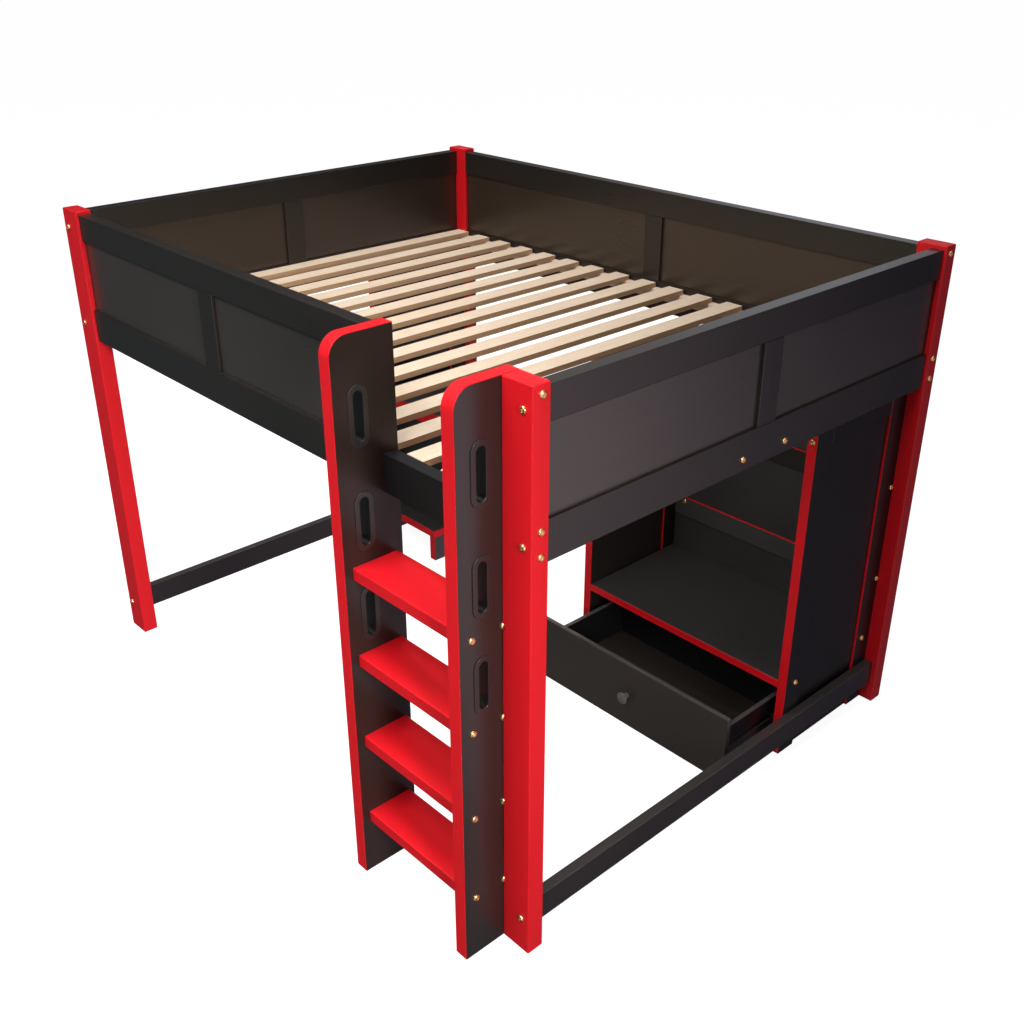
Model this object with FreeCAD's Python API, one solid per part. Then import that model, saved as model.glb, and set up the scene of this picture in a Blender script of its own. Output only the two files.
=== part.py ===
import FreeCAD
import Part
import math
import os

# Loft bed with a ladder, a side cabinet with an open drawer and a desk under the deck.
# Millimetres. X runs along the bed, the ladder is on the -Y side, +Z is up.
# The drawing's zero is on the floor, midway between the four posts.

# Overall bed and corner posts
bed_long = 2130.0
bed_wide = 1630.0
bed_high = 1530.0
post_wide = 92.0
post_deep = 51.0

# Guard rails, mullions and their field panels
rail_thick = 38.0
rail_setback = 8.0
top_rail_drop = 11.0
top_rail_high = 82.0
lower_rail_high = 103.0
guard_rise = 313.0
mullion_wide = 75.0
guard_panel_thick = 18.0
groove_deep = 8.0

# Ladder
stile_thick = 38.0
stile_deep = 178.0
stile_corner = 50.0
ladder_clear = 382.0
tread_first_top = 200.0
tread_rise = 250.0
tread_thick = 34.0
tread_setback = 25.0
tread_rear_gap = 18.0
tread_head_room = 100.0
tread_nose = 3.0

# Hand-hold slots in the ladder stiles
hold_wide = 27.0
hold_tall = 127.0
hold_wall = 3.0
hold_flange_rim = 14.0
hold_flange_thick = 3.0
hold_flange_round = 1.2
hold_from_front = 69.0
hold_above_tread = 112.0
hold_below_top = 201.0

# Slats and the ledgers that carry them
slat_count = 17
slat_wide = 63.0
slat_thick = 17.0
slat_drop = 3.0
slat_side_gap = 1.9
slat_end_gap = 1.0
ledger_thick = 26.0
ledger_high = 32.0

# Low stretchers across the two ends
stretcher_thick = 30.0
stretcher_low = 70.0
stretcher_high = 80.0

# Side frames of the cabinet and of the desk
frame_thick = 30.0
frame_top_gap = 4.0
frame_front = 305.0
frame_front_stile = 78.0
frame_rear_stile = 79.0
frame_top_rail = 74.0
frame_panel_thick = 16.0
floor_gap = 3.0
band_thick = 2.0

# Cabinet between two side frames
cabinet_inside = 790.5
shelf_low = 238.5
shelf_thick = 25.5
back_rail_thick = 20.0
back_rail_high = 73.0
back_mid_low = 396.0
back_upper_low = 729.0
back_panel_thick = 8.0
back_panel_recess = 7.0
back_groove_deep = 4.0

# Drawer, drawn pulled out as far as it stands at rest
drawer_front_at = 67.0
drawer_side_gap = 2.0
drawer_front_low = 3.0
drawer_top_gap = 5.5
drawer_front_thick = 17.0
drawer_box_gap = 27.5
drawer_box_low = 22.0
drawer_box_drop = 58.0
drawer_box_long = 363.0
drawer_board = 16.0
drawer_bottom_thick = 10.0
drawer_bottom_low = 28.0
drawer_bottom_groove = 6.0
runner_front_gap = 25.0
runner_rear_gap = 64.0
runner_low = 95.0
runner_high = 20.0
runner_tongue = 8.0
runner_clear = 0.5
knob_height = 118.0
knob_radius = 20.0
knob_stem_radius = 9.0
knob_stem_long = 16.0
knob_dome = 3.5
knob_rim_round = 3.5
knob_long = 31.0
knob_spigot_radius = 4.0
knob_spigot_long = 12.0

# Desk and the low pedestal under its left end
desk_height = 648.0
desk_top_thick = 26.0
desk_rail_high = 28.0
desk_rail_deep = 66.0
desk_rear_gap = 19.0
pedestal_wide = 324.0
pedestal_base_low = 105.0
pedestal_base_thick = 29.5
pedestal_foot_thick = 28.0
pedestal_board = 16.0

# Bolts with button heads and hexagonal sockets
head_radius = 9.5
head_high = 5.0
head_rim = 1.0
head_clear = 0.5
shank_radius = 4.0
shank_clear = 0.3
socket_radius = 4.3
socket_deep = 2.5
bolt_tip_gap = 1.0
stretcher_bolt_up = 35.0
lower_end_bolt_up = 48.0
top_end_bolt_up = 36.0
end_bolt_grip = 60.0
side_bolt_up = 25.0
side_bolt_down = 17.0
side_bolt_grip = 58.0
side_top_bolt_down = 13.0
side_top_bolt_grip = 30.0
tread_bolt_drop = 12.0
tread_bolt_inset = 12.0
tread_bolt_behind_post = 4.2
tread_bolt_grip = 50.0
rail_face_bolt_up = 32.0
rail_face_bolt_spacing = 174.0
rail_face_bolt_long = 28.0
shelf_bolt_from_front = 48.0
shelf_bolt_from_rear = 45.0
shelf_bolt_grip = 50.0
back_mid_bolt_groove_gap = 0.7
back_upper_bolt_up = 53.0
cross_bolt_from_side = 42.5
cross_bolt_gap = 10.5
cross_bolt_drop = 7.0
cross_bolt_long = 15.0
frame_bolt_down = 50.0
frame_bolt_grip = 50.0

# Places that follow from the sizes above
deck_top = bed_high - guard_rise
post_out_x = bed_long / 2
post_in_x = post_out_x - post_wide
post_out_y = bed_wide / 2
post_in_y = post_out_y - post_deep
end_rail_out = post_out_x - rail_setback
end_rail_in = end_rail_out - rail_thick
end_rail_mid = end_rail_out - rail_thick / 2
side_rail_out = post_out_y - rail_setback
side_rail_in = side_rail_out - rail_thick
side_rail_mid = side_rail_out - rail_thick / 2
top_rail_top = bed_high - top_rail_drop
top_rail_low = top_rail_top - top_rail_high
lower_rail_low = deck_top - lower_rail_high
top_rail_z = (top_rail_low, top_rail_top)
lower_rail_z = (lower_rail_low, deck_top)
field_z = (deck_top, top_rail_low)
right_stile_x = (post_in_x - stile_thick, post_in_x)
left_stile_in = right_stile_x[0] - ladder_clear
left_stile_x = (left_stile_in - stile_thick, left_stile_in)
stile_rear = -post_in_y
stile_front = stile_rear - stile_deep
tread_y = (stile_front + tread_setback, stile_rear - tread_rear_gap)
tread_count = 1 + math.floor((lower_rail_low - tread_head_room - tread_first_top) / tread_rise)
tread_tops = [tread_first_top + step * tread_rise for step in range(tread_count)]
hold_heights = (
    (tread_tops[-2] + tread_tops[-1] - tread_thick) / 2,
    tread_tops[-1] + hold_above_tread,
    bed_high - hold_below_top,
)
hold_y = stile_front + hold_from_front
slat_top = deck_top - slat_drop
slat_low = slat_top - slat_thick
ledger_z = (slat_low - ledger_high, slat_low)
ledger_inner_y = side_rail_in - ledger_thick
frame_rear = post_in_y
frame_tall = lower_rail_low - frame_top_gap
rear_stile_front = frame_rear - frame_rear_stile
board_front = frame_front + band_thick
cabinet_right_x = (end_rail_in - frame_thick, end_rail_in)
cabinet_left_in = cabinet_right_x[0] - cabinet_inside
cabinet_left_x = (cabinet_left_in - frame_thick, cabinet_left_in)
desk_end_x = (-end_rail_in, frame_thick - end_rail_in)
side_frames = {"desk_end": desk_end_x, "cabinet_left": cabinet_left_x, "cabinet_right": cabinet_right_x}
cabinet_x = (cabinet_left_x[1], cabinet_right_x[0])
back_front = frame_rear - back_rail_thick
back_panel_y = (back_front + back_panel_recess, back_front + back_panel_recess + back_panel_thick)
back_mid_top = back_mid_low + back_rail_high
back_upper_top = back_upper_low + back_rail_high
shelf_top = shelf_low + shelf_thick
desk_x = (desk_end_x[1], cabinet_left_x[0])
desk_low = desk_height - desk_top_thick
desk_rail_low = desk_low - desk_rail_high
desk_rear = frame_rear - desk_rear_gap
pedestal_face = board_front + desk_rail_deep
pedestal_right = desk_x[0] + pedestal_wide
pedestal_top = pedestal_base_low + pedestal_base_thick

# The top of a bolt head rolls over to its rim by this radius
head_round = head_high - head_rim

# Two measures closer than this are the same
rounding = 1e-6

# The part's own origin is on the floor at the middle of the whole footprint, ladder included
origin_y = (stile_front + post_out_y + head_high) / 2
to_origin = FreeCAD.Vector(0, -origin_y, 0)


def box(x, y, z):
    """A board that fills three spans, each given as (low, high)."""
    corner = FreeCAD.Vector(x[0], y[0], z[0])
    return Part.makeBox(x[1] - x[0], y[1] - y[0], z[1] - z[0], corner)


def mirrored(span):
    """The same span on the other side of zero."""
    return (-span[1], -span[0])


def middle(span):
    """The midpoint of a span."""
    return (span[0] + span[1]) / 2


def grown(span, by):
    """A span made longer by the same amount at both ends."""
    return (span[0] - by, span[1] + by)


def about(centre, size):
    """A span of a given size about its centre."""
    return (centre - size / 2, centre + size / 2)


def is_near(value, other):
    """Whether two measures are the same but for rounding."""
    return math.isclose(value, other, abs_tol=rounding)


def joined(shapes):
    """Separate solids kept together as one group."""
    return Part.makeCompound(shapes)


def stadium(wide, tall, x, y, z):
    """A prism along X with straight sides and half-round top and bottom, centred on y, z."""
    half = wide / 2
    straight = tall / 2 - half
    front_low = FreeCAD.Vector(x[0], y - half, z - straight)
    front_high = FreeCAD.Vector(x[0], y - half, z + straight)
    rear_high = FreeCAD.Vector(x[0], y + half, z + straight)
    rear_low = FreeCAD.Vector(x[0], y + half, z - straight)
    crown = FreeCAD.Vector(x[0], y, z + tall / 2)
    sole = FreeCAD.Vector(x[0], y, z - tall / 2)
    edges = [
        Part.makeLine(front_low, front_high),
        Part.Arc(front_high, crown, rear_high).toShape(),
        Part.makeLine(rear_high, rear_low),
        Part.Arc(rear_low, sole, front_low).toShape(),
    ]
    return Part.Face(Part.Wire(edges)).extrude(FreeCAD.Vector(x[1] - x[0], 0, 0))


class Bolt:
    """A button-head bolt: where its head seats, which way the head faces, and its shank's length."""

    def __init__(self, seat, facing, long):
        self.seat = FreeCAD.Vector(*seat)
        self.facing = FreeCAD.Vector(*facing)
        self.long = long

    def placed(self, shape):
        """Turns a shape drawn with its head up +Z to face the bolt's way, at its seat."""
        turn = FreeCAD.Rotation(FreeCAD.Vector(0, 0, 1), self.facing)
        shape.Placement = FreeCAD.Placement(self.seat, turn)
        return shape

    def solid(self):
        """A flat head with a rounded rim and a hexagonal socket, on a plain shank."""
        disc = Part.makeCylinder(head_radius, head_high)
        upper_edges = [edge for edge in disc.Edges if is_near(edge.CenterOfMass.z, head_high)]
        head = disc.makeFillet(head_round, upper_edges)
        shank = Part.makeCylinder(shank_radius, self.long, FreeCAD.Vector(0, 0, -self.long))
        corners = [
            FreeCAD.Vector(
                socket_radius * math.cos(step * math.pi / 3),
                socket_radius * math.sin(step * math.pi / 3),
                head_high - socket_deep,
            )
            for step in range(7)
        ]
        socket = Part.Face(Part.makePolygon(corners)).extrude(FreeCAD.Vector(0, 0, head_high))
        return self.placed(head.fuse(shank).removeSplitter().cut(socket))

    def hole(self):
        """The clearance hole that the shank passes through."""
        long = self.long + bolt_tip_gap
        start = FreeCAD.Vector(0, 0, -long)
        return self.placed(Part.makeCylinder(shank_radius + shank_clear, long, start))

    def head_room(self):
        """The head's own space with a margin all round, for a neighbour to leave free."""
        return self.placed(Part.makeCylinder(head_radius + head_clear, head_high + head_clear))


def drilled(shape, bolts):
    """Cuts the clearance hole of every bolt that reaches the shape."""
    for bolt in bolts:
        hole = bolt.hole()
        if hole.BoundBox.intersect(shape.BoundBox):
            shape = shape.cut(hole)
    return shape


def post_bolts():
    """Bolts through the four posts: along Y into the end rails, along X into the long rails."""
    bolts = []
    for side_x in (-1, 1):
        for side_y in (-1, 1):
            end_y = side_y * post_out_y
            for height in (
                stretcher_low + stretcher_bolt_up,
                lower_rail_low + lower_end_bolt_up,
                top_rail_low + top_end_bolt_up,
            ):
                seat = (side_x * end_rail_mid, end_y, height)
                bolts.append(Bolt(seat, (0, side_y, 0), post_deep + end_bolt_grip))
            end_x = side_x * post_out_x
            for height in (lower_rail_low + side_bolt_up, deck_top - side_bolt_down):
                seat = (end_x, side_y * side_rail_mid, height)
                bolts.append(Bolt(seat, (side_x, 0, 0), post_wide + side_bolt_grip))
            seat = (end_x, side_y * side_rail_mid, top_rail_top - side_top_bolt_down)
            bolts.append(Bolt(seat, (side_x, 0, 0), post_wide + side_top_bolt_grip))
    return bolts


def rail_face_bolts():
    """Two bolts in the outer face of each lower end rail."""
    height = lower_rail_low + rail_face_bolt_up
    bolts = []
    for side_x in (-1, 1):
        for y in about(0, rail_face_bolt_spacing):
            bolts.append(Bolt((side_x * end_rail_out, y, height), (side_x, 0, 0), rail_face_bolt_long))
    return bolts


def tread_bolts():
    """Two bolts through each stile into each tread end."""
    bolts = []
    front_y = tread_y[0] + tread_bolt_inset
    rear_y = -post_out_y + tread_bolt_behind_post
    for seat_x, facing in ((left_stile_x[0], -1), (right_stile_x[1], 1)):
        for top in tread_tops:
            for y in (front_y, rear_y):
                seat = (seat_x, y, top - tread_bolt_drop)
                bolts.append(Bolt(seat, (facing, 0, 0), stile_thick + tread_bolt_grip))
    return bolts


def cabinet_bolts():
    """Bolts into the shelf, the back rails and the top rails of the side frames."""
    bolts = []
    back_y = middle((back_front, frame_rear))
    shelf_z = middle((shelf_low, shelf_top))
    shank_room = shank_radius + shank_clear
    mid_height = back_mid_top - back_groove_deep - shank_room - back_mid_bolt_groove_gap
    upper_height = back_upper_low + back_upper_bolt_up
    back_reach = frame_thick + cross_bolt_from_side - cross_bolt_gap
    for seat_x, facing in ((cabinet_left_x[0], -1), (cabinet_right_x[1], 1)):
        for y in (frame_front + shelf_bolt_from_front, frame_rear - shelf_bolt_from_rear):
            bolts.append(Bolt((seat_x, y, shelf_z), (facing, 0, 0), frame_thick + shelf_bolt_grip))
        for height in (mid_height, upper_height):
            bolts.append(Bolt((seat_x, back_y, height), (facing, 0, 0), back_reach))
    for x in (cabinet_x[0] + cross_bolt_from_side, cabinet_x[1] - cross_bolt_from_side):
        bolts.append(Bolt((x, back_front, mid_height - cross_bolt_drop), (0, -1, 0), cross_bolt_long))
    for span in side_frames.values():
        seat = (middle(span), frame_front, frame_tall - frame_bolt_down)
        reach = band_thick + frame_front_stile + frame_bolt_grip
        bolts.append(Bolt(seat, (0, -1, 0), reach))
    return bolts


def posts():
    """Four corner posts, standing on the floor."""
    x = (post_in_x, post_out_x)
    y = (post_in_y, post_out_y)
    z = (0, bed_high)
    return {
        "post_front_left": box(mirrored(x), mirrored(y), z),
        "post_front_right": box(x, mirrored(y), z),
        "post_back_left": box(mirrored(x), y, z),
        "post_back_right": box(x, y, z),
    }


def side_guard(run, y):
    """A guard along X: two rails, a mullion and the two panels let into them."""
    panel_y = about(middle(y), guard_panel_thick)
    mullion_x = about(middle(run), mullion_wide)
    field = grown(field_z, groove_deep)
    panels = [
        box(grown((run[0], mullion_x[0]), groove_deep), panel_y, field),
        box(grown((mullion_x[1], run[1]), groove_deep), panel_y, field),
    ]
    return box(run, y, top_rail_z), box(run, y, lower_rail_z), box(mullion_x, y, field_z), joined(panels)


def end_guard(x):
    """A guard along Y between two posts: two rails, a mullion and two panels."""
    run = (-post_in_y, post_in_y)
    panel_x = about(middle(x), guard_panel_thick)
    mullion_y = about(0, mullion_wide)
    field = grown(field_z, groove_deep)
    panels = [
        box(panel_x, grown((run[0], mullion_y[0]), groove_deep), field),
        box(panel_x, grown((mullion_y[1], run[1]), groove_deep), field),
    ]
    return box(x, run, top_rail_z), box(x, run, lower_rail_z), box(x, mullion_y, field_z), joined(panels)


def guards():
    """The four guards; the front one stops at the ladder."""
    long_run = (-post_in_x, post_in_x)
    front_run = (-post_in_x, left_stile_x[0])
    side_y = (side_rail_in, side_rail_out)
    end_x = (end_rail_in, end_rail_out)
    built = {
        "front": side_guard(front_run, mirrored(side_y)),
        "back": side_guard(long_run, side_y),
        "left": end_guard(mirrored(end_x)),
        "right": end_guard(end_x),
    }
    nodes = {}
    mullions = []
    for side, (top_rail, lower_rail, mullion, panels) in built.items():
        nodes[side + "_top_rail"] = top_rail.cut(panels)
        nodes[side + "_lower_rail"] = lower_rail.cut(panels)
        nodes[side + "_panels"] = panels
        mullions.append(mullion.cut(panels))
    nodes["guard_mullions"] = joined(mullions)
    entry_x = (left_stile_x[1], right_stile_x[0])
    nodes["entry_rail"] = box(entry_x, mirrored(side_y), lower_rail_z)
    return nodes


def nosed(board, radius):
    """Rounds the front upper edge of a board."""
    limits = board.BoundBox
    edges = [
        edge
        for edge in board.Edges
        if is_near(edge.CenterOfMass.y, limits.YMin) and is_near(edge.CenterOfMass.z, limits.ZMax)
    ]
    return board.makeFillet(radius, edges)


def stile_outline(x, inset, low):
    """A stile with its front upper corner rounded, its front and top faces moved in by inset."""
    board = box(x, (stile_front + inset, stile_rear), (low, bed_high - inset))
    return nosed(board, stile_corner - inset)


def ladder():
    """Two slotted stiles with edge bands and slot liners, and the treads between them."""
    stiles = []
    bands = []
    liners = []
    for x in (left_stile_x, right_stile_x):
        core = stile_outline(x, band_thick, 0)
        bands.append(stile_outline(x, 0, floor_gap).cut(core))
        for height in hold_heights:
            core = core.cut(hold_prism(hold_wall, x, height))
            liners.extend(hand_hold(x, height))
        stiles.append(core)
    tread_x = (left_stile_x[1], right_stile_x[0])
    treads = [nosed(box(tread_x, tread_y, (top - tread_thick, top)), tread_nose) for top in tread_tops]
    return {
        "ladder_stile_left": stiles[0],
        "ladder_stile_right": stiles[1],
        "ladder_edge_bands": joined(bands),
        "ladder_treads": joined(treads),
        "hand_hold_liners": joined(liners),
    }


def hold_prism(margin, x, height):
    """A hand-hold's outline, wider than its hole by a margin all round, carried along X."""
    return stadium(hold_wide + 2 * margin, hold_tall + 2 * margin, x, hold_y, height)


def hand_hold(x, height):
    """Two flanged half liners that meet inside a stile's slot."""
    through = hold_prism(0, grown(x, hold_flange_thick), height)
    halves = []
    for face, outward in ((x[0], -1), (x[1], 1)):
        sleeve = hold_prism(hold_wall, sorted((middle(x), face)), height)
        outer_face = face + outward * hold_flange_thick
        flange = hold_prism(hold_flange_rim, sorted((face, outer_face)), height)
        half = sleeve.fuse(flange).removeSplitter().cut(through)
        outer_edges = [edge for edge in half.Edges if is_near(edge.CenterOfMass.x, outer_face)]
        halves.append(half.makeFillet(hold_flange_round, outer_edges))
    return halves


def deck():
    """Slats across the bed, on ledgers fixed inside the lower rails."""
    slat_reach = min(post_in_y, side_rail_in) - slat_end_gap
    outer_centre = end_rail_in - slat_side_gap - slat_wide / 2
    pitch = 2 * outer_centre / (slat_count - 1)
    slats = []
    for index in range(slat_count):
        slat_x = about(index * pitch - outer_centre, slat_wide)
        slats.append(box(slat_x, (-slat_reach, slat_reach), (slat_low, slat_top)))
    back_y = (ledger_inner_y, side_rail_in)
    end_x = (end_rail_in - ledger_thick, end_rail_in)
    end_y = (-ledger_inner_y, ledger_inner_y)
    ledgers = [
        box((-post_in_x, post_in_x), back_y, ledger_z),
        box((-post_in_x, left_stile_x[0]), mirrored(back_y), ledger_z),
        box((left_stile_x[1], right_stile_x[0]), mirrored(back_y), ledger_z),
        box(end_x, end_y, ledger_z),
        box(mirrored(end_x), end_y, ledger_z),
    ]
    return {"slats": joined(slats), "slat_ledgers": joined(ledgers)}


def stretchers():
    """A low rail between the posts at each end."""
    x = (end_rail_in, end_rail_in + stretcher_thick)
    y = (-post_in_y, post_in_y)
    z = (stretcher_low, stretcher_low + stretcher_high)
    return {"stretcher_left": box(mirrored(x), y, z), "stretcher_right": box(x, y, z)}


def side_frame(name, x):
    """An upright frame: two stiles and a top rail round a recessed panel that reaches the floor."""
    front_y = (board_front, board_front + frame_front_stile)
    rear_y = (rear_stile_front + band_thick, frame_rear)
    field_y = (front_y[1], rear_stile_front)
    upright = (0, frame_tall)
    panel_z = (floor_gap, frame_tall - frame_top_rail + groove_deep)
    panel = box(about(middle(x), frame_panel_thick), grown(field_y, groove_deep), panel_z)
    return {
        name + "_front_stile": box(x, front_y, upright).cut(panel),
        name + "_rear_stile": box(x, rear_y, upright).cut(panel),
        name + "_top_rail": box(x, field_y, (frame_tall - frame_top_rail, frame_tall)).cut(panel),
        name + "_panel": panel,
    }


def cabinet():
    """Three side frames, the shelf and framed back between two of them, and the drawer's runners."""
    nodes = {}
    for name, x in side_frames.items():
        nodes.update(side_frame(name, x))
    back_y = (back_front, frame_rear)
    panel_x = grown(cabinet_x, back_groove_deep)
    lower_panel = box(panel_x, back_panel_y, (shelf_low, back_mid_low + back_groove_deep))
    upper_panel = box(panel_x, back_panel_y, grown((back_mid_top, back_upper_low), back_groove_deep))
    top_panel = box(panel_x, back_panel_y, (back_upper_top - back_groove_deep, frame_tall))
    panels = joined([lower_panel, upper_panel, top_panel])
    for side in ("cabinet_left_rear_stile", "cabinet_right_rear_stile"):
        nodes[side] = nodes[side].cut(panels)
    nodes["cabinet_back_panels"] = panels
    mid_z = (back_mid_low, back_mid_top - band_thick)
    upper_z = (back_upper_low, back_upper_top - band_thick)
    nodes["cabinet_back_mid_rail"] = box(cabinet_x, back_y, mid_z).cut(panels)
    nodes["cabinet_back_upper_rail"] = box(cabinet_x, back_y, upper_z).cut(panels)
    nodes["cabinet_shelf"] = box(cabinet_x, (board_front, back_panel_y[0]), (shelf_low, shelf_top))
    band_y = (frame_front, board_front)
    rear_band_y = (rear_stile_front, rear_stile_front + band_thick)
    upright = (floor_gap, frame_tall)
    bands = []
    for name, x in side_frames.items():
        bands.append(box(x, band_y, upright))
        bands.append(box(x, rear_band_y, upright).cut(nodes[name + "_panel"]))
    bands.append(box(cabinet_x, band_y, (shelf_low, shelf_top)))
    mid_band = box(cabinet_x, back_y, (mid_z[1], back_mid_top)).cut(upper_panel)
    upper_band = box(cabinet_x, back_y, (upper_z[1], back_upper_top)).cut(top_panel)
    bands.extend(mid_band.Solids + upper_band.Solids)
    nodes["cabinet_edge_bands"] = joined(bands)
    runner_y = (frame_front + runner_front_gap, frame_rear - runner_rear_gap)
    runner_z = (runner_low, runner_low + runner_high)
    reach = drawer_box_gap + runner_tongue
    nodes["drawer_runners"] = joined([
        box((cabinet_x[0], cabinet_x[0] + reach), runner_y, runner_z),
        box((cabinet_x[1] - reach, cabinet_x[1]), runner_y, runner_z),
    ])
    return nodes


def knob():
    """A turned mushroom knob facing -Y, with a spigot let into the drawer front."""
    x = middle(cabinet_x)
    face = drawer_front_at

    def point(radius, out):
        return FreeCAD.Vector(x + radius, face - out, knob_height)

    cap_radius = knob_radius - knob_rim_round
    rim_top = knob_long - knob_dome
    rim_middle = rim_top - knob_rim_round
    rim_low = rim_middle - knob_rim_round
    dome_radius = (cap_radius ** 2 + knob_dome ** 2) / (2 * knob_dome)
    half_angle = math.asin(cap_radius / dome_radius) / 2
    radius_at_half = dome_radius * math.sin(half_angle)
    drop_at_half = dome_radius * (1 - math.cos(half_angle))
    edges = [
        Part.makeLine(point(0, -knob_spigot_long), point(knob_spigot_radius, -knob_spigot_long)),
        Part.makeLine(point(knob_spigot_radius, -knob_spigot_long), point(knob_spigot_radius, 0)),
        Part.makeLine(point(knob_spigot_radius, 0), point(knob_stem_radius, 0)),
        Part.makeLine(point(knob_stem_radius, 0), point(knob_stem_radius, knob_stem_long)),
        Part.makeLine(point(knob_stem_radius, knob_stem_long), point(cap_radius, rim_low)),
        Part.Arc(
            point(cap_radius, rim_low),
            point(knob_radius, rim_middle),
            point(cap_radius, rim_top),
        ).toShape(),
        Part.Arc(
            point(cap_radius, rim_top),
            point(radius_at_half, knob_long - drop_at_half),
            point(0, knob_long),
        ).toShape(),
        Part.makeLine(point(0, knob_long), point(0, -knob_spigot_long)),
    ]
    profile = Part.Face(Part.Wire(edges))
    return profile.revolve(FreeCAD.Vector(x, face, knob_height), FreeCAD.Vector(0, 1, 0), 360)


def drawer():
    """An inset front with a knob, and a box that hangs on the runners by grooves in its sides."""
    front_y = (drawer_front_at, drawer_front_at + drawer_front_thick)
    front_z = (drawer_front_low, shelf_low - drawer_top_gap)
    box_y = (front_y[1], front_y[1] + drawer_box_long)
    box_z = (drawer_box_low, front_z[1] - drawer_box_drop)
    box_x = grown(cabinet_x, -drawer_box_gap)
    inside_x = grown(box_x, -drawer_board)
    back_y = (box_y[1] - drawer_board, box_y[1])
    bottom_z = (drawer_bottom_low, drawer_bottom_low + drawer_bottom_thick)
    bottom_y = (box_y[0], back_y[0] + drawer_bottom_groove)
    bottom = box(grown(inside_x, drawer_bottom_groove), bottom_y, bottom_z)
    groove_z = grown((runner_low, runner_low + runner_high), runner_clear)
    groove_reach = runner_tongue + runner_clear
    sides = []
    for side_x, groove_x in (
        ((box_x[0], inside_x[0]), (box_x[0], box_x[0] + groove_reach)),
        ((inside_x[1], box_x[1]), (box_x[1] - groove_reach, box_x[1])),
    ):
        side = box(side_x, box_y, box_z)
        sides.append(side.cut(box(groove_x, box_y, groove_z)).cut(bottom))
    knob_hole = Part.makeCylinder(
        knob_spigot_radius + shank_clear,
        knob_spigot_long + bolt_tip_gap,
        FreeCAD.Vector(middle(cabinet_x), drawer_front_at, knob_height),
        FreeCAD.Vector(0, 1, 0),
    )
    return {
        "drawer_front": box(grown(cabinet_x, -drawer_side_gap), front_y, front_z).cut(knob_hole),
        "drawer_sides": joined(sides),
        "drawer_back": box(inside_x, back_y, box_z).cut(bottom),
        "drawer_bottom": bottom,
        "drawer_knob": knob(),
    }


def desk():
    """A desk top with a front rail under it, on a pedestal that stands on one foot board."""
    board_y = (board_front, desk_rear)
    band_y = (frame_front, board_front)
    base_z = (pedestal_base_low, pedestal_top)
    base_x = (desk_x[0], pedestal_right - band_thick)
    foot_x = (pedestal_right - pedestal_foot_thick, pedestal_right)
    side_x = (foot_x[0], foot_x[0] + pedestal_board)
    front_y = (pedestal_face, pedestal_face + pedestal_board)
    upright = (pedestal_top, desk_low)
    bands = [
        box(desk_x, band_y, (desk_rail_low, desk_height)),
        box((desk_x[0], pedestal_right), band_y, base_z),
        box((base_x[1], pedestal_right), board_y, base_z),
        box(foot_x, band_y, (floor_gap, pedestal_base_low)),
    ]
    return {
        "desk_top": box(desk_x, board_y, (desk_low, desk_height)),
        "desk_front_rail": box(desk_x, (board_front, pedestal_face), (desk_rail_low, desk_low)),
        "desk_edge_bands": joined(bands),
        "pedestal_base": box(base_x, board_y, base_z),
        "pedestal_foot": box(foot_x, board_y, (0, pedestal_base_low)),
        "pedestal_front": box((desk_x[0], side_x[1]), front_y, upright),
        "pedestal_side": box(side_x, (front_y[1], desk_rear), upright),
    }


def let_panels_in(nodes):
    """Cuts the grooves for the guard panels into the posts and the left ladder stile."""
    for name in [*posts(), "ladder_stile_left"]:
        for side in ("front", "back", "left", "right"):
            panels = nodes[side + "_panels"]
            if panels.BoundBox.intersect(nodes[name].BoundBox):
                nodes[name] = nodes[name].cut(panels)


def let_heads_in(nodes):
    """Pockets the right front post for the heads of the tread bolts close beside it."""
    for bolt in tread_bolts():
        nodes["post_front_right"] = nodes["post_front_right"].cut(bolt.head_room())


def main():
    """Builds every piece, drills it for the bolts and writes it out about the part's origin."""
    nodes = {}
    for builder in (posts, guards, ladder, deck, stretchers, cabinet, drawer, desk):
        nodes.update(builder())
    let_panels_in(nodes)
    let_heads_in(nodes)
    bolt_groups = {
        "frame_bolts": post_bolts() + rail_face_bolts(),
        "tread_bolts": tread_bolts(),
        "cabinet_bolts": cabinet_bolts(),
    }
    every_bolt = [bolt for bolts in bolt_groups.values() for bolt in bolts]
    os.makedirs("parts", exist_ok=True)
    for name, shape in nodes.items():
        drilled(shape, every_bolt).translated(to_origin).exportStep(f"parts/{name}.step")
    for name, bolts in bolt_groups.items():
        group = joined([bolt.solid() for bolt in bolts])
        group.translated(to_origin).exportStep(f"parts/{name}.step")


main()
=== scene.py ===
"""Finishes and a studio stage for a red and black loft bed, laid out as an add-on.

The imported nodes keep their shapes. Each one gets eased arrises and a finish that is worked out from its
Object coordinates, in metres.
"""
import math

import bpy
import numpy as np
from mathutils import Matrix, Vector


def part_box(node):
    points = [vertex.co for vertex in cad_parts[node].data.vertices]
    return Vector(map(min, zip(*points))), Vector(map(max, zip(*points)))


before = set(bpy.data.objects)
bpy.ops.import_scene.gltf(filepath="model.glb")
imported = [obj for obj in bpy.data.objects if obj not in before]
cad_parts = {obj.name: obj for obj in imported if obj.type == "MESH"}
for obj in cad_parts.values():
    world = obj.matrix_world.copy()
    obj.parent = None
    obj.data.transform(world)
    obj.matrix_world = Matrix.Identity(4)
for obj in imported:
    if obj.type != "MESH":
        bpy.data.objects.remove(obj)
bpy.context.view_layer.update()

bl_info = {
    "name": "Loft bed finishes",
    "version": (1, 0, 0),
    "blender": (4, 5, 0),
    "location": "3D View > Sidebar > Loft bed",
    "description": "Dresses a loft bed in lacquer, stained board, pine and brass, and sets its stage",
    "category": "Object",
}

X, Y, Z = 0, 1, 2
white = (1.0, 1.0, 1.0, 1.0)

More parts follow.
